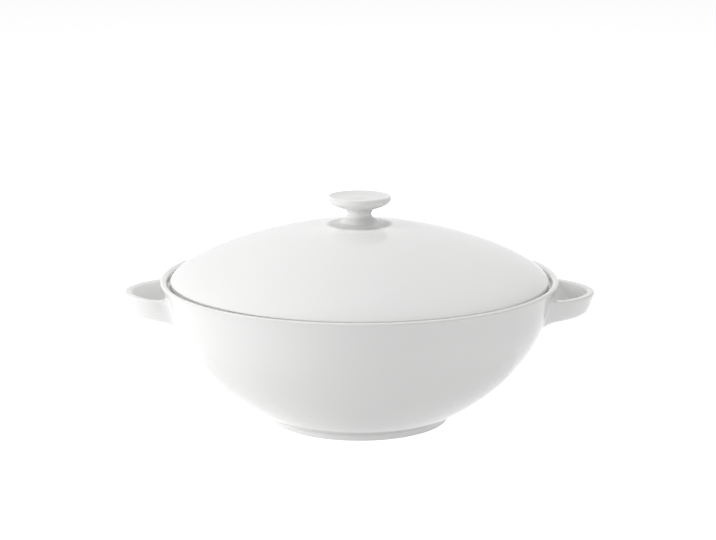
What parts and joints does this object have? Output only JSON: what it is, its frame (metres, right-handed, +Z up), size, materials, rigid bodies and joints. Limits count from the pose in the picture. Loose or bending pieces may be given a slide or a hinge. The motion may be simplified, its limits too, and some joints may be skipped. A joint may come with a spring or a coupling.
{
  "type": "soup tureen with lid",
  "caption": "Round white porcelain soup tureen with loop handles at the rim, and a domed lid with a dished knob that rests on a ledge inside the lip.",
  "frame": {"origin": "centre of the circle that the foot ring stands on, in the plane of the table", "axes": "+Z up, +X along the line through the two handles, towards the right-hand handle"},
  "size_m": [0.3058, 0.258, 0.1471],
  "materials": {
    "white_glaze": "gloss white glaze on porcelain"
  },
  "bodies": {
    "tureen": {"bowl": "white_glaze", "handle_left": "white_glaze", "handle_right": "white_glaze"},
    "cover": {"lid": "white_glaze", "knob": "white_glaze"}
  },
  "joints": [
    {"name": "lid_lift", "type": "slide", "parent": "tureen", "child": "cover", "axis": [0, 0, 1], "range_m": [0, 0.12]}
  ]
}
